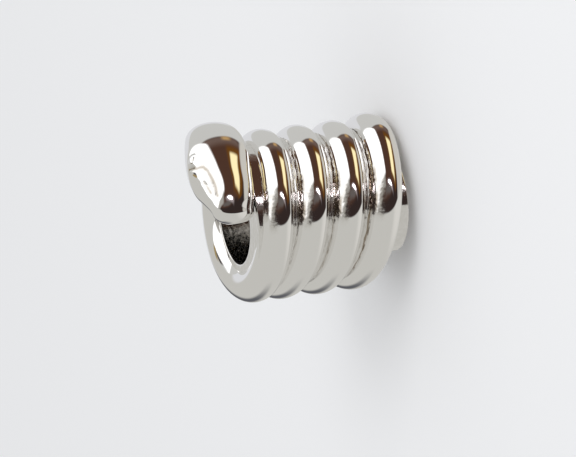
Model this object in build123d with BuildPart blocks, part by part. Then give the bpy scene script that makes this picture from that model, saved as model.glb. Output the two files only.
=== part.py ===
# A cast coil bead: a round wire wound left-handed round a smooth bore, whose upper end swells
# into a small snake's head.  The bead is one piece of metal.  It stands on its tail end with the
# bore upright: +Z runs up the bore, +X points at the crown line where each turn starts, and the
# origin is the centre of the bore on the flat collar that the bead stands on.
import os
from math import cos, radians, sin

from build123d import *

# The bore and the core round it, in millimetres
bore_diameter = 4.80
bore_length = 8.60
collar_wall = 0.30
groove_depth = 0.58

# The wire and its turns, in millimetres and degrees
full_turn = 360
half_turn = 180
wire_diameter = 1.86
wire_clear_of_bore = 0.17
wire_clear_of_end = 0.03
turn_gap = 0.10
turns = 3.75
lean_height = 0.41
closing_height = 0.55
closing_sweep = 150
closing_end = 75
end_lift = 0.20
lift_sweep = 48
tail_sweep = 96

# The head
head_sweep = 180.5
head_root = 16
head_width = 3.40
head_thickness = 2.45
head_rise = 0.67
head_shift = 1.57

# Worked out from them
wire_radius = wire_diameter / 2
bore_radius = bore_diameter / 2
coil_radius = bore_radius + wire_clear_of_bore + wire_radius
crown_radius = coil_radius + wire_radius
core_radius = crown_radius - groove_depth
pitch = wire_diameter + turn_gap
head_start = full_turn * turns

# The tail, from the first full section to the tip
TAIL_SHARES = [
    # share of sweep, share of wire diameter, share of the thinning taken off the outside
    (0.00, 1.00, 0.0),
    (0.12, 0.97, 0.0),
    (0.25, 0.93, 0.1),
    (0.50, 0.84, 0.4),
    (0.72, 0.66, 0.8),
    (0.90, 0.38, 1.0),
    (1.00, 0.14, 1.0),
]

# The head, from inside the wire to the snout.  Blend goes from the wire's section, 0, to the
# head's, 1, and width and thickness are shares of that blend.  Rise is how far the back of the
# head stands over the coil's crown, and shift how far its middle has left the coil upwards.
HEAD_SHARES = [
    # share of sweep, blend, width, thickness, rise, shift
    (0.000, 0.00, 0.91, 0.92, -0.12, 0.00),
    (0.089, 0.00, 1.05, 1.03, 0.03, 0.03),
    (0.255, 0.20, 0.98, 1.01, 0.26, 0.23),
    (0.404, 0.60, 0.98, 1.01, 0.70, 0.62),
    (0.515, 0.85, 0.98, 1.00, 0.97, 0.82),
    (0.610, 1.00, 0.97, 0.99, 1.00, 0.92),
    (0.704, 1.00, 0.99, 0.99, 0.94, 0.99),
    (0.798, 1.00, 0.95, 0.96, 0.85, 0.98),
    (0.875, 1.00, 0.83, 0.90, 0.79, 0.88),
    (0.935, 1.00, 0.65, 0.80, 0.70, 0.73),
    (0.975, 1.00, 0.42, 0.62, 0.42, 0.61),
    (1.000, 1.00, 0.16, 0.28, -0.20, 0.56),
]


def eased(share):
    """A share held between 0 and 1 that starts and stops gently."""
    share = min(max(share, 0), 1)
    return share**2 * (3 - 2 * share)


def wire_height(angle):
    """Height of the wire's middle after winding through an angle from the first crown.

    It climbs one pitch a turn.  Each turn leans, low on the +X side and high on the other, and
    the last stretch closes down on the turn below it.
    """
    climbed = wire_clear_of_end + wire_radius + pitch * angle / full_turn
    leaned = lean_height * (1 - cos(radians(angle)))
    closed = closing_height * eased(1 + (angle + closing_end - head_start) / closing_sweep)
    return climbed + leaned - closed


def wire_reach(angle):
    """Distance of the wire's middle from the bore axis: the first crown stands out a little."""
    return coil_radius + end_lift * eased(1 - angle / lift_sweep)


def across_wire(angle, radius, height):
    """Plane across the wire: its x points away from the bore, its y up, its normal onward."""
    out = (cos(radians(angle)), -sin(radians(angle)), 0)
    onward = (-sin(radians(angle)), -cos(radians(angle)), 0)
    return Plane(origin=(radius * out[0], radius * out[1], height), x_dir=out, z_dir=onward)


def head_section(share, blend, width, thickness, rise, shift):
    """Seat, thickness and width of one of the head's oval sections."""
    angle = head_start - head_root + head_sweep * share
    wide = width * (wire_diameter + blend * (head_width - wire_diameter))
    thick = thickness * (wire_diameter + blend * (head_thickness - wire_diameter))
    middle = crown_radius + rise * head_rise - thick / 2
    return across_wire(angle, middle, wire_height(angle) + shift * head_shift), thick, wide


def wire_sections(start, stop, steps):
    """Planes across the wire, evenly spaced from one wound angle to another."""
    angles = [start + (stop - start) * step / steps for step in range(steps + 1)]
    return [across_wire(angle, wire_reach(angle), wire_height(angle)) for angle in angles]


with BuildPart() as coiled_bead:
    # The core: it closes the grooves between the turns and carries the bore
    core_foot = wire_height(half_turn) - wire_radius
    with BuildSketch(Plane.XY.offset(core_foot)):
        Circle(core_radius)
    extrude(amount=bore_length - core_foot)

    # The collar: its end is the flat that the bead stands on
    with BuildSketch(Plane.XY):
        Circle(bore_radius + collar_wall)
    extrude(amount=core_foot + wire_radius)

    # The turns, lofted a half turn at a time, so that each loft meets the next on a plane
    halves = round(2 * turns)
    for half in range(halves):
        start = head_start * half / halves
        stop = head_start * (half + 1) / halves
        with BuildSketch(*wire_sections(start, stop, steps=6)):
            Circle(wire_radius)
        loft()

    # The tail: the wire tapers off along the turn above it
    for share, size, inward in reversed(TAIL_SHARES):
        angle = -tail_sweep * share
        thinned = wire_radius * (1 - size)
        middle = wire_reach(angle) + thinned * (1 - 2 * inward)
        seat = across_wire(angle, middle, wire_height(angle) + thinned)
        with BuildSketch(seat):
            Circle(wire_radius * size)
    loft()

    # The head: it swells out of the wire, turns away from the coil and ends in a snout
    for row in HEAD_SHARES:
        seat, thick, wide = head_section(*row)
        with BuildSketch(seat):
            Ellipse(thick / 2, wide / 2)
    loft()

    # The bore through everything
    with BuildSketch(Plane.XY):
        Circle(bore_radius)
    extrude(amount=bore_length + head_width + head_shift, mode=Mode.SUBTRACT)

coiled_bead.part.label = "coiled_bead"

os.makedirs("parts", exist_ok=True)
export_step(coiled_bead.part, "parts/coiled_bead.step")
print(f"coiled_bead: {coiled_bead.part.volume:.1f} mm3, {len(coiled_bead.part.solids())} solid")
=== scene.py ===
# %% [markdown]
# # A cast silver coil bead
# This bead slides onto a charm bracelet.  It is one casting: a round wire wound nearly four
# times round a smooth bore, whose upper end swells into a small snake's head.  After casting
# its crowns were polished to a mirror and plated with bright rhodium.
#
# The imported part from the CAD step is loaded first, and it is hidden once the bead is built.

import bpy
import numpy as np
from mathutils import Matrix, Vector


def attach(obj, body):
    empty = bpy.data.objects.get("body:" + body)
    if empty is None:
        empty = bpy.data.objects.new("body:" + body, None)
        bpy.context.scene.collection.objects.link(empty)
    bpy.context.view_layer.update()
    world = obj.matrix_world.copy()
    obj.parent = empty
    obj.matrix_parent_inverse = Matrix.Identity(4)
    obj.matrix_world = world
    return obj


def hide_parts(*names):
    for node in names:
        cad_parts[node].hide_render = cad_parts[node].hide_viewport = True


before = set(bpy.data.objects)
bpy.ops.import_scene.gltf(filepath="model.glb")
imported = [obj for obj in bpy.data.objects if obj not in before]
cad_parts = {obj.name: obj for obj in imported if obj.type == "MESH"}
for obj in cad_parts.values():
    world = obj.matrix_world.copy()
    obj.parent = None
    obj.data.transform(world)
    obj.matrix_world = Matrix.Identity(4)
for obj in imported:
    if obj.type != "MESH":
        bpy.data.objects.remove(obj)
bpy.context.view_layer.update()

# %% [markdown]
# ## Sizes
# A goldsmith would note a bead like this one by its wire, its bore and the number of turns.
# The same sizes as in the CAD source are written here in millimetres, and every place on the
# bead is worked out from them.  Only the finished mesh is turned into metres.

# %% Sizes of the bore, the wire and its turns
MM = 0.001
bore_radius = 2.40
bore_length = 8.60
collar_wall = 0.30
groove_depth = 0.58

wire_radius = 0.93
wire_clear_of_bore = 0.17
wire_clear_of_end = 0.03
turn_gap = 0.10
turns = 3.75
lean_height = 0.41
closing_height = 0.55
closing_sweep = 150
closing_end = 75
end_lift = 0.20
lift_sweep = 48
tail_sweep = 96

coil_radius = bore_radius + wire_clear_of_bore + wire_radius
crown_radius = coil_radius + wire_radius
core_radius = crown_radius - groove_depth
pitch = 2 * wire_radius + turn_gap
head_start = 360 * turns
print(f"The coil is {2 * crown_radius:.2f} mm across and climbs {pitch:.2f} mm a turn.")

# %% [markdown]
# ## The line that the wire follows
# A wound wire is a helix, but this one isn't a perfect one: each turn leans, and the last one
# closes down on the turn below it.  A curve object with a bevel could show it.  A formula is
# better here, because the head, the grooves and the finish all have to follow the same line.
# The functions take a whole array of wound angles at once and give as many heights or reaches.

# %% Height and reach of the wire
def eased(share):
    """Three times the square less twice the cube of a share held between 0 and 1."""
    share = np.clip(share, 0, 1)
    return share**2 * (3 - 2 * share)


def wire_height(angle):
    """Height of the wire's middle at wound angles in degrees.

    One pitch for each 360 degrees, and the lean times 1 less the cosine of the angle, less an
    eased step where the last stretch closes down on the turn below it.
    """
    climbed = wire_clear_of_end + wire_radius + pitch * angle / 360
    leaned = lean_height * (1 - np.cos(np.radians(angle)))
    closed = closing_height * eased(1 + (angle + closing_end - head_start) / closing_sweep)
    return climbed + leaned - closed


def wire_reach(angle):
    """The coil's radius, and an eased lift at the first crown."""
    return coil_radius + end_lift * eased(1 - angle / lift_sweep)


def smooth_through(at, keys, values):
    """A smooth curve through a table's rows.

    Between two rows it is the cubic that has both values and both slopes, and the slope at a
    row is that of the parabola through it and its neighbours.
    """
    slopes = np.gradient(values, keys)
    row = np.clip(np.searchsorted(keys, at) - 1, 0, len(keys) - 2)
    span = keys[row + 1] - keys[row]
    t = (at - keys[row]) / span
    ends = (1 + 2 * t) * (1 - t) ** 2 * values[row] + t**2 * (3 - 2 * t) * values[row + 1]
    bends = t * (1 - t) ** 2 * slopes[row] - t**2 * (1 - t) * slopes[row + 1]
    return ends + span * bends


heights = wire_height(np.array([0.0, 180.0, head_start]))
print("Wire heights at the first crown, behind it and at the head:", heights.round(2))

# %% [markdown]
# ## Rings across the wire
# Tail, wire and head are one skin.  Lofting between circles by hand would give a few dozen
# sections.  Here the skin is a grid: one direction runs along the winding and the other round
# the section.  Each ring is a rounded oval that stands upright and points away from the bore.

# %% A grid of rings
def oval(turn, half_out, half_up, belly=0):
    """Offsets outwards and upwards round an oval.

    Upwards it is the half size times the sine.  Outwards it is the half size times the cosine,
    less the belly's share of the sine squared, which sharpens the outer end of the oval.
    """
    out = half_out * (np.cos(turn) - belly * np.sin(turn) ** 2)
    return out, half_up * np.sin(turn)


def set_rings(angle, middle, height, out, up):
    """Points of rings: wound to the left, at the ring's middle plus its offsets."""
    wound, distance, level = np.broadcast_arrays(np.radians(angle), middle + out, height + up)
    return np.stack([distance * np.cos(wound), -distance * np.sin(wound), level], -1)


def around(count):
    """Angles round a section, from the outside over the top, as a row."""
    return np.linspace(0, 2 * np.pi, count, endpoint=False)[None, :]


# %% [markdown]
# ## The wire and its tail
# The wire is nearly 2 mm thick, and behind the bead its end thins out under the turn above it.
# It could be a curve with a tapered bevel.  As a grid it shares its rings with the head.  Its
# section stays a circle, so the tail needs only a short table of shares.

# %% The wire's grid
TAIL = np.array([
    # share of sweep, share of wire, share of the thinning taken off the outside
    (0.00, 1.00, 0.0),
    (0.12, 0.97, 0.0),
    (0.25, 0.93, 0.1),
    (0.50, 0.84, 0.4),
    (0.72, 0.66, 0.8),
    (0.90, 0.38, 1.0),
    (0.97, 0.21, 1.0),
    (1.00, 0.00, 1.0),
])
WIRE_SIDES = 48
WIRE_STEP = 2.0
TAIL_RINGS = 46
tail_crowding = 1.6
head_root = 16
head_sweep = 179.5
neck = head_start - head_root

# The tail's rings crowd together towards its tip, where it bends most
tail_angle = -tail_sweep * (1 - np.linspace(0, 1, TAIL_RINGS) ** tail_crowding)
body_angle = np.arange(WIRE_STEP, neck, WIRE_STEP)
wire_angle = np.concatenate([tail_angle, body_angle])[:, None]

past_tail = np.clip(-wire_angle / tail_sweep, 0, 1)
size = np.sqrt(np.maximum(smooth_through(past_tail, TAIL[:, 0], TAIL[:, 1] ** 2), 0))
inward = smooth_through(past_tail, TAIL[:, 0], TAIL[:, 2])
thinned = wire_radius * (1 - size)
wire_out, wire_up = oval(around(WIRE_SIDES), wire_radius * size, wire_radius * size)
wire_grid = set_rings(
    wire_angle,
    wire_reach(wire_angle) + thinned * (1 - 2 * inward),
    wire_height(wire_angle) + thinned,
    wire_out,
    wire_up,
)
print("Rings of the wire:", wire_grid.shape)

# %% [markdown]
# ## The head
# The wire swells into a flat oval head that stands over the last turn, leaves the coil
# upwards and ends in a blunt snout.  It could be sculpted, but a table of fifteen sections is
# easier to match to the real one.  The table's rows weren't chosen by hand: they came out of a
# least-squares fit to the real bead's outline and reflections, and were rounded.  Half widths
# are smoothed as squares, because a square that falls evenly to nothing makes a round end,
# where a plain size would make a cone.

# %% The head's sections
head_width = 3.40
head_thickness = 2.45
head_rise = 0.67
head_shift = 1.57
HEAD = np.array([
    # share of sweep, width, thickness, rise of the back, shift upwards, slant, belly
    (0.000, 0.547, 0.759, 0.000, 0.000, 0.000, 0.00),
    (0.088, 0.557, 0.768, 0.015, 0.015, 0.000, 0.00),
    (0.253, 0.630, 0.820, 0.260, 0.230, 0.000, 0.00),
    (0.401, 0.830, 0.900, 0.700, 0.590, 0.000, 0.00),
    (0.511, 0.860, 0.990, 0.980, 0.780, 0.040, -0.16),
    (0.599, 0.955, 1.020, 0.980, 0.900, 0.020, -0.10),
    (0.697, 1.000, 1.020, 0.880, 0.975, -0.020, -0.03),
    (0.791, 0.960, 0.990, 0.810, 0.960, 0.030, 0.07),
    (0.857, 0.880, 0.940, 0.725, 0.865, 0.080, 0.09),
    (0.906, 0.770, 0.870, 0.710, 0.755, 0.330, 0.06),
    (0.940, 0.655, 0.790, 0.665, 0.675, 0.560, 0.06),
    (0.965, 0.600, 0.735, 0.550, 0.610, 0.600, 0.06),
    (0.983, 0.465, 0.585, 0.280, 0.565, 0.615, 0.06),
    (0.993, 0.315, 0.405, -0.045, 0.540, 0.625, 0.06),
    (1.000, 0.000, 0.000, -0.775, 0.525, 0.630, 0.06),
])
HEAD_SIDES = 3 * WIRE_SIDES
HEAD_RINGS = 190
snout_crowding = 1.2

keys, width, thickness, rise, shift, slant, belly = HEAD.T
key_up = width * head_width / 2
key_out = thickness * head_thickness / 2
key_middle = crown_radius + rise * head_rise - key_out

head_share = np.sin(np.linspace(0, np.pi / 2, HEAD_RINGS))[:, None] ** snout_crowding
head_angle = neck + head_sweep * head_share

half_up = np.sqrt(np.maximum(smooth_through(head_share, keys, key_up**2), 0))
half_out = np.sqrt(np.maximum(smooth_through(head_share, keys, key_out**2), 0))
head_middle = smooth_through(head_share, keys, key_middle)
head_height = wire_height(head_angle) + head_shift * smooth_through(head_share, keys, shift)
head_slant = smooth_through(head_share, keys, slant)
head_belly = smooth_through(head_share, keys, belly)
head_turn = around(HEAD_SIDES)
head_out, head_up = oval(head_turn, half_out, half_up, head_belly)
head_up = head_up + head_slant * half_out * np.cos(head_turn)
print(f"The head is {2 * half_up.max():.2f} mm wide and {2 * half_out.max():.2f} mm thick.")

# %% [markdown]
# ## Eye and mouth
# The face is cast into the flank that looks away from the coil: a small round eye with a
# dimple in it, a mouth line that hooks round the jaw, and a long dimple in the cheek.  Bump
# would not show them at the head's edge, so the skin itself is moved in and out.  Each mark
# is a smooth hill or hollow that depends on the distance from a point or from a line.

# %% Relief on the head
eye_place = (22.3, 59.5)
eye_reach = 0.20
eye_height = 0.05
eye_rim = 0.45
mouth_line = [(27, 72), (30, 57), (32, 41), (36, 35), (42, 32), (48, 30), (53.5, 29)]
mouth_reach = 0.15
mouth_depth = 0.06
cheek_line = [(42.5, 50.5), (51, 43)]
cheek_reach = 0.11
cheek_depth = 0.030
face_radius = 4.7
flank_radius = 1.42
face_zero = 4 * 360


def face_plane(place):
    """Millimetres along and round the head of a place given by its angles."""
    along, round_head = np.moveaxis(np.asarray(place, float), -1, 0)
    return np.radians(along) * face_radius, np.radians(round_head) * flank_radius


def distance_to_line(x, y, places):
    """Shortest distance from points to a line of straight pieces, clamped at its ends."""
    line_x, line_y = face_plane(places)
    best = np.full(np.broadcast(x, y).shape, np.inf)
    for x0, y0, x1, y1 in zip(line_x, line_y, line_x[1:], line_y[1:]):
        dx, dy = x1 - x0, y1 - y0
        t = np.clip(((x - x0) * dx + (y - y0) * dy) / (dx**2 + dy**2), 0, 1)
        best = np.minimum(best, np.hypot(x - x0 - t * dx, y - y0 - t * dy))
    return best


# Angles along the face are counted from where a fifth crown would be
face_along = np.radians(head_angle - face_zero) * face_radius
face_round = head_turn * flank_radius
eye_x, eye_y = face_plane(eye_place)
from_eye = np.hypot(face_along - eye_x, face_round - eye_y) / eye_reach
from_mouth = distance_to_line(face_along, face_round, mouth_line) / mouth_reach
from_cheek = distance_to_line(face_along, face_round, cheek_line) / cheek_reach
eye_ring = np.exp(-(((from_eye - 1) / eye_rim) ** 2))
mouth = np.exp(-(from_mouth**2))
cheek = np.exp(-(from_cheek**2))
relief = eye_height * eye_ring - mouth_depth * mouth - cheek_depth * cheek

# The relief moves each point square to the oval, in a direction read from its half sizes
square_out = half_up * np.cos(head_turn) - head_slant * half_out * np.sin(head_turn)
square_up = half_out * np.sin(head_turn) * (1 + 2 * head_belly * np.cos(head_turn))
square = np.hypot(square_out, square_up) + 0.001
head_grid = set_rings(
    head_angle,
    head_middle,
    head_height,
    head_out + relief * square_out / square,
    head_up + relief * square_up / square,
)
print(f"The relief stands {relief.max():.2f} mm proud and cuts {-relief.min():.2f} mm deep.")

# %% [markdown]
# ## Metal in the grooves
# The casting doesn't part the turns.  Metal is left between them: a low ridge follows each
# groove, with a narrow trough above it and a ragged dark crack below it, beside the next turn.
# It could be sculpted, but a worm with the ridge as its section, carried along the grooves,
# takes a few lines.  Its unevenness is random numbers from a fixed seed, averaged with their
# neighbours.

# %% The worm in the grooves
def rounded_outline(corners, radius, steps=5):
    """Each corner becomes a short curve: a parabola between the points one radius before and
    after it.  A further point on each side keeps the shading of the flats even."""
    before = np.roll(corners, 1, 0) - corners
    after = np.roll(corners, -1, 0) - corners
    before /= np.linalg.norm(before, axis=1, keepdims=True)
    after /= np.linalg.norm(after, axis=1, keepdims=True)
    t = np.linspace(0, 1, steps)[None, :, None]
    curve = radius * ((1 - t) ** 2 * before[:, None] + t**2 * after[:, None])
    rests = 2 * radius
    curve = np.concatenate([rests * before[:, None], curve, rests * after[:, None]], 1)
    return (corners[:, None] + curve).reshape(-1, 2)


WORM_STEP = 1.2
worm_ridge = np.array([
    # distance from the axis, height over the middle of the groove
    (4.00, 0.24),
    (3.91, 0.14),
    (3.90, 0.10),
    (3.95, 0.05),
    (3.95, 0.01),
    (3.90, -0.03),
    (3.78, -0.04),
    (3.78, 0.25),
])
worm_rounding = 0.012
worm_rough = 0.006
worm_smoothings = 4
worm_start = -80
worm_end = 1045
worm_blunt = 60
crack_rough = 3
crack_depth = 0.06

worm_angle = np.arange(worm_start, worm_end, WORM_STEP)[:, None]

# Two of the ridge's sides, 0.04 mm long, are too short for the further points of both their
# corners, so the outline folds back on itself there, by less than 0.01 mm
worm_outline = rounded_outline(worm_ridge, worm_rounding, steps=2)
seeded = np.random.default_rng(7)
uneven = seeded.normal(size=(len(worm_angle), len(worm_outline)))
for axis in worm_smoothings * [0, 1]:
    uneven = (np.roll(uneven, 1, axis) + uneven + np.roll(uneven, -1, axis)) / 3
uneven *= worm_rough / uneven.std()
worm_fade = np.sqrt(1 - np.abs(np.linspace(-1, 1, len(worm_angle))[:, None]) ** worm_blunt)
worm_heart = worm_ridge.mean(0)

# The lower edge is rougher.  All heights use the same random numbers, run backwards.
ragged = 1 + crack_rough * eased(0.5 - worm_outline[:, 1] / crack_depth)
worm_grid = set_rings(
    worm_angle,
    worm_heart[0],
    (wire_height(worm_angle) + wire_height(worm_angle + 360)) / 2 + worm_heart[1],
    (worm_outline[:, 0] - worm_heart[0] + uneven) * worm_fade,
    (worm_outline[:, 1] - worm_heart[1] + ragged * uneven[::-1]) * worm_fade,
)
print(f"The worm winds {(worm_end - worm_start) / 360:.1f} times round the bore.")

# %% [markdown]
# ## Core, bore and collar
# Under the turns a plain sleeve carries the bore.  Its foot is the narrow flat collar that
# the bead stands on.  On a lathe this would be one turned profile, and here it is the same:
# a closed outline carried round the axis, with each corner rounded a little to catch light.

# %% The turned sleeve
SLEEVE_SIDES = 144
corner_radius = 0.06
core_foot = wire_height(np.array(180.0)) - wire_radius
sleeve_outline = np.array([
    # distance from the axis, height
    (bore_radius, 0),
    (bore_radius + collar_wall, 0),
    (bore_radius + collar_wall, core_foot),
    (core_radius, core_foot),
    (core_radius, bore_length),
    (bore_radius, bore_length),
])

outline = rounded_outline(sleeve_outline, corner_radius)
sleeve_angle = np.linspace(0, 360, SLEEVE_SIDES, endpoint=False)[:, None]
sleeve_grid = set_rings(sleeve_angle, 0, 0, outline[None, :, 0], outline[None, :, 1])
print("Points on the sleeve's outline:", len(outline))

# %% [markdown]
# ## One mesh
# The grids become faces by numbering: a face joins a point, the next one round the ring, and
# the same two on the next ring.  The wire has fewer sides than the head, so between its last
# ring and the head's first one each face takes three short edges of the head.  Tail and snout
# are closed by their last rings, which have no size and are merged into a point.

# %% Grids into faces
def grid_faces(rings, sides, first=0, loop=False):
    """Four corners for each face of a grid whose rings are closed, numbered from first."""
    ring = np.arange(rings if loop else rings - 1)[:, None]
    side = np.arange(sides)[None, :]
    here, onward = ring * sides, (ring + 1) % rings * sides
    beside = (side + 1) % sides
    corners = [here + side, onward + side, onward + beside, here + beside]
    return first + np.stack(corners, -1).reshape(-1, 4)


def neck_faces(wire_first, head_first):
    """Six corners for each face between the wire's last ring and the head's first one."""
    side = np.arange(WIRE_SIDES)
    beside = (side + 1) % WIRE_SIDES
    head_corners = [head_first + (3 * side + step) % HEAD_SIDES for step in range(4)]
    return np.stack([wire_first + side, *head_corners, wire_first + beside], -1)


grids = [wire_grid, head_grid, worm_grid, sleeve_grid]
starts = np.cumsum([0] + [grid.shape[0] * grid.shape[1] for grid in grids])
points = np.concatenate([grid.reshape(-1, 3) for grid in grids]) * MM
last_wire_ring = starts[1] - WIRE_SIDES
faces = [
    *grid_faces(len(wire_grid), WIRE_SIDES, starts[0]).tolist(),
    *neck_faces(last_wire_ring, starts[1]).tolist(),
    *grid_faces(len(head_grid), HEAD_SIDES, starts[1]).tolist(),
    *grid_faces(len(worm_grid), len(worm_outline), starts[2]).tolist(),
    *grid_faces(len(sleeve_grid), len(outline), starts[3], loop=True).tolist(),
]

mesh = bpy.data.meshes.new("cast_bead")
mesh.from_pydata(points, [], faces)
print(f"{len(points)} points and {len(faces)} faces")

# %% [markdown]
# ## What was polished and what was not
# A polishing wheel reaches the crowns of the turns and not the bottom of the grooves.  A
# number on each point of the mesh says how much of the casting's own skin is left there, and
# the finish reads it: 0 is polished metal, 1 is the full sandy skin, and above 1 the colour is
# brown painted shade, in the crack under the turns, the face's hollows and a few recesses.
# It could be painted by hand.  Rules that follow the winding are better,
# because they come out the same on every turn: the skin grows where a turn meets the next one,
# half of it is left on the worm, and a short table adds the places that the wheel missed.

# %% The cast skin and the painted shade as an attribute
groove_from = 0.95
groove_full = 1.00
worm_skin = 0.50
sleeve_skin = 0.35
# Skin value for the crack under the turns, which makes it brown painted shade
painted_crack_shade = 1.8
neighbour_start = -80
neighbour_fade = 60
last_open_from = head_start - 330
first_open_to = 265
open_fade = 40

# A flank has skin where another turn lies beside it.  The first turn has none below it and the
# last turn none above it.
wire_turn = around(WIRE_SIDES)
towards_groove = np.cos(wire_turn) > -0.2
wire_flank = np.abs(np.sin(wire_turn)) * towards_groove
wire_cast = eased((wire_flank - groove_from) / (groove_full - groove_from))
wire_cast = wire_cast * eased((wire_angle - neighbour_start) / neighbour_fade)
below_only = np.sin(wire_turn) < 0
last_turn = eased((wire_angle - last_open_from) / open_fade)
wire_cast = wire_cast * np.where(below_only, 1, 1 - last_turn)
first_turn = eased(1 - (wire_angle - first_open_to) / open_fade)
wire_cast = wire_cast * np.where(below_only, 1 - first_turn, 1)

# Places at the front of each turn that the wheel missed, with edges that fade over 8 degrees.
# Where a row's skin is above 1, it paints brown shade into these recesses near the grooves
MISSED = [
    # wound angle from, to, angle round the wire from, to, skin on three turns, on the last (above 1
    # painted shade)
    (50, 84, 12, 44, 1.0, 1.0),
    (38, 62, 38, 80, 1.35, 0.0),
    (58, 82, 34, 80, 1.5, 0.0),
    (42, 76, 40, 120, 0.0, 1.0),
]
fade = 8
last_three_quarters = head_start - 270
front_angle = (wire_angle + 180) % 360 - 180
section_angle = np.degrees(wire_turn)
for angle_from, angle_to, turn_from, turn_to, skin_first, skin_last in MISSED:
    along_wire = eased((front_angle - angle_from) / fade) * eased((angle_to - front_angle) / fade)
    round_wire = eased((section_angle - turn_from) / fade) * eased((turn_to - section_angle) / fade)
    skin_there = np.where(wire_angle > last_three_quarters, skin_last, skin_first)
    wire_cast = np.maximum(wire_cast, skin_there * along_wire * round_wire)

# The face marks get brown painted shade in their hollows too, most of all the mouth's crease
eye_hollow = np.exp(-((from_eye / 0.7) ** 2))
head_skin_and_shade = np.maximum.reduce([1.3 * eye_hollow, 1.45 * mouth, 1.3 * cheek])
worm_cast = np.full(worm_grid.shape[:2], worm_skin)
sleeve_cast = np.full(sleeve_grid.shape[:2], sleeve_skin)
core_wall = outline[:, 0] > core_radius - 0.01
under_turns = core_wall & (outline[:, 1] < bore_length - 0.2)
# The sleeve's wall down in the crack under the turns gets brown painted shade
sleeve_cast[:, under_turns] = painted_crack_shade
cast_skin_and_shade = np.concatenate([
    grid.ravel() for grid in (wire_cast, head_skin_and_shade, worm_cast, sleeve_cast)
])
mesh.attributes.new("cast_skin_and_shade", "FLOAT", "POINT").data.foreach_set("value", cast_skin_and_shade)
print(f"Cast skin on {np.mean(cast_skin_and_shade > 0.5):.0%} of the points")

# %% [markdown]
# ## A closed skin
# A casting has no seams, so the mesh gets none.  The tail, the snout and the worm end in rings
# without size, and merging the points that lie together closes them.  It could be done by
# leaving those rings out and numbering fans of triangles, but merging takes one line.  It also
# joins a few points where the worm's outline folds back, and the edges there get four faces.
# The faces are then turned outwards, because a grid may come out inside out.

# %% Seams and poles closed, faces outwards
import bmesh

merge_distance = 0.0005
closing = bmesh.new()
closing.from_mesh(mesh)
bmesh.ops.remove_doubles(closing, verts=closing.verts, dist=merge_distance * MM)
bmesh.ops.recalc_face_normals(closing, faces=closing.faces)
open_edges = sum(edge.is_boundary for edge in closing.edges)
crowded_edges = sum(len(edge.link_faces) > 2 for edge in closing.edges)
closing.to_mesh(mesh)
closing.free()
mesh.shade_smooth()
bead = bpy.data.objects.new("cast_bead", mesh)
bpy.context.scene.collection.objects.link(bead)
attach(bead, "root")
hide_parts("coiled_bead")
print(f"Open edges: {open_edges}.  Edges with more than two faces: {crowded_edges}.")

# %% [markdown]
# ## Rhodium-plated silver
# Sterling silver with a bright rhodium plate, polished to a mirror: nearly white, a little
# warm, and sharp in its reflections.  Metal shows its surroundings, so the detail of this
# finish is in how they bend.  Hand polishing leaves slow waves, about a millimetre long, and
# in the grooves the sandy grain of the mould is left, duller and darker.  A picture of the
# surface could be wrapped round it, but noise in real millimetres needs no seams.

# %% Helpers for materials
def linear(hex_colour):
    """An sRGB hex colour as linear red, green, blue and alpha."""
    value = np.array([int(hex_colour[i : i + 2], 16) for i in (1, 3, 5)]) / 255
    value = np.where(value <= 0.04045, value / 12.92, ((value + 0.055) / 1.055) ** 2.4)
    return (*value.tolist(), 1.0)


def add_node(tree, kind, settings=None, **inputs):
    """Adds a node: settings are its properties, and inputs are values or sockets to link,
    by the name of the socket with its spaces as underscores, or by its number as _0."""
    node = tree.nodes.new(kind)
    for name, value in (settings or {}).items():
        setattr(node, name, value)
    for name, value in inputs.items():
        key = int(name[1:]) if name.startswith("_") else name.replace("_", " ")
        socket = node.inputs[key]
        if isinstance(value, bpy.types.NodeSocket):
            tree.links.new(value, socket)
        else:
            socket.default_value = value
    return node


# %% The plated silver
polish_wave = 1.1
polish_depth = 0.004
mirror_rough, sandy_rough, sandy_from = 0.035, 0.18, 0.4

# The sand of a real mould is finer than this grain, which is drawn as coarse as it needs to show
grain_size = 0.28
grain_depth = 0.020

silver = bpy.data.materials.new("rhodium_plated_silver")
silver.use_nodes = True
tree = silver.node_tree
shader = tree.nodes["Principled BSDF"]
shader.inputs["Metallic"].default_value = 1.0

place = add_node(tree, "ShaderNodeTexCoord").outputs["Object"]
skin_and_shade = add_node(tree, "ShaderNodeAttribute", {"attribute_name": "cast_skin_and_shade"}).outputs["Fac"]
waves = add_node(
    tree, "ShaderNodeTexNoise", Vector=place, Scale=1 / (polish_wave * MM), Detail=1.0
).outputs["Fac"]
grain = add_node(
    tree, "ShaderNodeTexNoise", Vector=place, Scale=1 / (grain_size * MM), Detail=1.0
).outputs["Fac"]
dull = add_node(tree, "ShaderNodeMath", {"operation": "MULTIPLY"}, _0=skin_and_shade, _1=grain)
roughness = add_node(
    tree,
    "ShaderNodeMapRange",
    Value=dull.outputs[0],
    From_Max=sandy_from,
    To_Min=mirror_rough,
    To_Max=sandy_rough,
)
colour = add_node(
    tree,
    "ShaderNodeMix",
    {"data_type": "RGBA"},
    Factor=dull.outputs[0],
    _6=linear("#F7F6F5"),
    _7=linear("#C9C4BC"),
)
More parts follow.
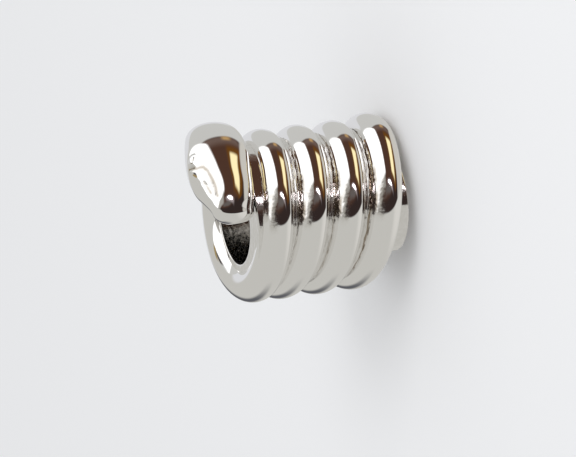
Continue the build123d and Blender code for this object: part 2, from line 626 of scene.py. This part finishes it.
# Skin values above 1 turn the colour towards brown: painted shade in the crack under the turns, in
# the face's hollows and in a few recesses at the front of the turns
painted_shade = add_node(
    tree, "ShaderNodeMath", {"operation": "SUBTRACT", "use_clamp": True}, _0=skin_and_shade, _1=1.0
)
colour = add_node(
    tree,
    "ShaderNodeMix",
    {"data_type": "RGBA"},
    Factor=painted_shade.outputs[0],
    _6=colour.outputs[2],
    _7=linear("#7A6038"),
)
wavy = add_node(
    tree, "ShaderNodeBump", Height=waves, Strength=1.0, Distance=polish_depth * MM
)
sandy = add_node(
    tree,
    "ShaderNodeBump",
    Height=grain,
    Strength=skin_and_shade,
    Distance=grain_depth * MM,
    Normal=wavy.outputs["Normal"],
)
tree.links.new(colour.outputs[2], shader.inputs["Base Color"])
tree.links.new(roughness.outputs[0], shader.inputs["Roughness"])
tree.links.new(sandy.outputs["Normal"], shader.inputs["Normal"])
mesh.materials.append(silver)
print("Finish:", silver.name)

# %% [markdown]
# ## The floor
# The bead stands on a plain pale table.  The floor isn't part of the bead.  It takes the
# bead's soft shadow, and it is kept out of mirror reflections, because the room painted below
# holds everything that the metal reflects.

# %% A plain pale floor
floor_size = 1600
floor_corners = np.array([(-1, -1, 0), (1, -1, 0), (1, 1, 0), (-1, 1, 0)]) * floor_size / 2 * MM
floor_mesh = bpy.data.meshes.new("floor")
floor_mesh.from_pydata(floor_corners, [], [(0, 1, 2, 3)])
floor = bpy.data.objects.new("floor", floor_mesh)
bpy.context.scene.collection.objects.link(floor)
floor.visible_glossy = False
table = bpy.data.materials.new("matt_white_card")
table.use_nodes = True
table.node_tree.nodes["Principled BSDF"].inputs["Base Color"].default_value = linear("#EEEFF1")
table.node_tree.nodes["Principled BSDF"].inputs["Roughness"].default_value = 0.9
table.node_tree.nodes["Principled BSDF"].inputs["Specular IOR Level"].default_value = 0.0
floor_mesh.materials.append(table)

# %% [markdown]
# ## One soft lamp
# The real bead looks lit from above by a wide soft lamp.  A square area light stands on the
# crown side and gives the floor its soft shadow.  It is hidden from mirror rays like the floor.

# %% The lamp
lamp_place = np.array([140, -60, 150]) * MM
lamp_size = 120
lamp_watts = 0.10
lamp_data = bpy.data.lights.new("soft_lamp", "AREA")
lamp_data.size = lamp_size * MM
lamp_data.energy = lamp_watts
lamp = bpy.data.objects.new("soft_lamp", lamp_data)
bpy.context.scene.collection.objects.link(lamp)
lamp.location = lamp_place
lamp.rotation_euler = Vector(lamp_place).to_track_quat("Z", "Y").to_euler()
lamp.visible_glossy = False

# %% [markdown]
# ## The room that the metal mirrors
# A mirror looks like what stands round it.  Real cards, lamps and a dark camera side would do,
# but a room painted on the world's sphere needs fewer objects and stays sharp.  It has a grey
# table that is darker in the bead's shade, a pale backdrop, a brown wall behind the viewer, a
# white window on the head's side, an amber lamp with a gold heart on the tail's side, a small
# gold spot over it, and a round flash between the two.
#
# Each patch is a soft-edged area of directions.  They are given by three numbers from -1 to 1:
# along, which points down the bore to the tail end, away, from the viewer through the bead,
# and over, out of the crown line.  Where the patches lie was first worked out with small
# programs, from the reflections on the real bead, and then adjusted by comparing renders.
# Only mirror rays see the room.  The floor and the eye get a plain pale light instead.

# %% Directions of the world's sphere
world = bpy.data.worlds.new("studio")
world.use_nodes = True
bpy.context.scene.world = world
room = world.node_tree
room.nodes.clear()
direction = add_node(
    room,
    "ShaderNodeSeparateXYZ",
    Vector=add_node(room, "ShaderNodeTexCoord").outputs["Generated"],
)
over, away = direction.outputs["X"], direction.outputs["Y"]
along = add_node(
    room, "ShaderNodeMath", {"operation": "MULTIPLY"}, _0=direction.outputs["Z"], _1=-1.0
).outputs[0]


def between(value, low, high, soft):
    """A soft gate: nothing outside low and high, all inside, with smooth steps of that width."""
    rise = add_node(
        room, "ShaderNodeMapRange", {"interpolation_type": "SMOOTHSTEP"},
        Value=value, From_Min=low - soft / 2, From_Max=low + soft / 2,
    )
    fall = add_node(
        room, "ShaderNodeMapRange", {"interpolation_type": "SMOOTHSTEP"},
        Value=value, From_Min=high + soft / 2, From_Max=high - soft / 2,
    )
    return add_node(
        room, "ShaderNodeMath", {"operation": "MULTIPLY"},
        _0=rise.outputs[0], _1=fall.outputs[0],
    ).outputs[0]


def weighted(first, weight, second):
    """The first number times a weight, plus the second: it tilts the edge of a gate."""
    return add_node(
        room, "ShaderNodeMath", {"operation": "MULTIPLY_ADD"}, _0=first, _1=weight, _2=second
    ).outputs[0]


def painted(under, colour, *gates):
    """A patch of one colour over what is under it, where all its gates are open."""
    mask = gates[0]
    for gate in gates[1:]:
        mask = add_node(
            room, "ShaderNodeMath", {"operation": "MULTIPLY"}, _0=mask, _1=gate
        ).outputs[0]
    return add_node(
        room, "ShaderNodeMix", {"data_type": "RGBA"}, Factor=mask, _6=under, _7=colour
    ).outputs[2]


def lit(hex_colour, strength=1.0):
    """A linear colour made brighter, for lamps and windows."""
    red, green, blue, alpha = linear(hex_colour)
    return (red * strength, green * strength, blue * strength, alpha)


# %% The table and the backdrop in the mirror
# A gate that ends here stays open, because no direction has a number as large
EVERYWHERE = 3.0
table_near, table_shade, table_far = lit("#C5C4BF"), lit("#5C5D62"), lit("#DCDDE0")
table_right = lit("#D8D6D1")
horizon = weighted(along, 0.14, over)
slanted = weighted(away, 0.07, along)
right_edge = weighted(away, 0.28, along)
window_top = weighted(along, 0.65, away)
window_left = weighted(along, -1.45, away)
sloped = weighted(over, 2.0, away)

above = between(horizon, 0.115, EVERYWHERE, 0.05)

# The table, lighter far on the tail's side and dark in the bead's shade, then the backdrop
chart = painted(table_near, table_right, between(along, 0.80, EVERYWHERE, 0.3))
chart = painted(chart, table_shade, between(away, 0.15, EVERYWHERE, 0.9),
                between(along, -0.10, 0.24, 0.22))
chart = painted(chart, table_far, between(away, 0.90, EVERYWHERE, 0.06))
chart = painted(chart, lit("#C8C8C5"), above)

# %% The dark side of the room, behind the viewer
# The wall is browner overhead, has a paler upper edge and a dim grey area near the viewer
front = between(away, -EVERYWHERE, 0.60, 0.08)
chart = painted(chart, lit("#332927"), above, front)
chart = painted(chart, lit("#4F372C"), between(over, 0.42, EVERYWHERE, 0.22), front)
chart = painted(chart, lit("#6E5C54"), between(over, 0.42, EVERYWHERE, 0.2),
                between(away, 0.45, 0.62, 0.2), front)
chart = painted(chart, lit("#635C59"), between(over, 0.46, 0.68, 0.12),
                between(away, -0.86, -0.66, 0.10), between(along, -0.2, 0.6, 0.3))

# %% Window, amber lamp and flash
# A grey card near the viewer, the white window, and a brown haze beside it
chart = painted(chart, lit("#A9A6A0"), between(along, -EVERYWHERE, -0.14, 0.2),
                between(over, 0.25, EVERYWHERE, 0.1), between(away, -0.72, -0.4, 0.12))
chart = painted(chart, lit("#FFFFFF", 1.4), between(along, -EVERYWHERE, -0.06, 0.10),
                above, between(away, -0.50, EVERYWHERE, 0.12),
                between(window_top, -EVERYWHERE, 0.49, 0.08),
                between(window_left, -EVERYWHERE, 1.62, 0.12))
chart = painted(chart, lit("#A08C62"), between(sloped, 0.72, 0.93, 0.08),
                between(along, -EVERYWHERE, -0.80, 0.06), between(away, 0.30, 0.70, 0.06))

# The amber lamp's glow, the backdrop's pale edge beside it, its gold heart and the gold spot
chart = painted(chart, lit("#6B4417"), between(slanted, 0.47, 0.88, 0.12),
                between(over, 0.25, EVERYWHERE, 0.1), between(away, -0.50, 0.38, 0.2))
chart = painted(chart, lit("#CBC8C1"), between(right_edge, 0.90, EVERYWHERE, 0.05), above)
chart = painted(chart, lit("#FFF0BC", 1.1), between(slanted, 0.55, 0.78, 0.06),
                between(over, 0.25, EVERYWHERE, 0.1), between(away, -0.42, 0.24, 0.10))
chart = painted(chart, lit("#BE9A68"), between(along, 0.38, 0.55, 0.12),
                between(over, 0.25, EVERYWHERE, 0.1), between(away, 0.53, 0.61, 0.08))

# The flash: an oval that is wide along the bore, in a dim halo
flash_at = np.array([0.33, -0.68])
flash_wide, flash_tall = 0.18, 0.032
flash_x = weighted(along, 1 / flash_wide, -flash_at[0] / flash_wide)
flash_y = weighted(away, 1 / flash_tall, -flash_at[1] / flash_tall)
from_flash = add_node(
    room, "ShaderNodeVectorMath", {"operation": "LENGTH"},
    Vector=add_node(room, "ShaderNodeCombineXYZ", X=flash_x, Y=flash_y).outputs[0],
).outputs["Value"]
chart = painted(chart, lit("#A79C9E"), between(from_flash, -EVERYWHERE, 1.6, 1.0), above)
chart = painted(chart, lit("#FFF4F8", 8.0), between(from_flash, -EVERYWHERE, 0.9, 0.3), above)

# %% The room for mirror rays, plain light for the rest
rays = add_node(room, "ShaderNodeLightPath").outputs["Is Glossy Ray"]
mirrored = add_node(room, "ShaderNodeBackground", Color=chart, Strength=1.0)
plain = add_node(room, "ShaderNodeBackground", Color=lit("#FFFFFF"), Strength=0.85)
either = add_node(
    room, "ShaderNodeMixShader", _0=rays, _1=plain.outputs[0], _2=mirrored.outputs[0]
)
add_node(room, "ShaderNodeOutputWorld", Surface=either.outputs[0])
bpy.context.scene.view_settings.view_transform = "Standard"
print("Nodes in the room:", len(room.nodes))

# %% [markdown]
# ## The camera
# The real bead was seen with its bore level and its head upper left.  Here it stands on its
# tail, so the camera keeps the same side of the bead and is rolled to match.  A long lens from
# 22 centimetres keeps the turns nearly parallel, as they are on the real one.

# %% Camera at the same angle to the bead
camera_azimuth = np.radians(21.4)
camera_elevation = np.radians(18.9)
camera_roll = np.radians(-97.24)
camera_distance = 220
aim = np.array([-0.967, 0.097, 5.610])

level_right = np.array([np.cos(camera_azimuth), np.sin(camera_azimuth), 0])
back = np.array([
    np.sin(camera_azimuth) * np.cos(camera_elevation),
    -np.cos(camera_azimuth) * np.cos(camera_elevation),
    np.sin(camera_elevation),
])
level_up = np.cross(back, level_right)
right = np.cos(camera_roll) * level_right + np.sin(camera_roll) * level_up
up = np.cross(back, right)
camera_data = bpy.data.cameras.new("camera")
camera_data.lens = 265.4
camera_data.sensor_width = 36
camera_data.clip_start = 0.01
camera = bpy.data.objects.new("camera", camera_data)
bpy.context.scene.collection.objects.link(camera)
turned = np.eye(4)
turned[:3, :3] = np.stack([right, up, back], 1)
turned[:3, 3] = (aim + camera_distance * back) * MM
camera.matrix_world = Matrix(turned.tolist())
bpy.context.scene.camera = camera
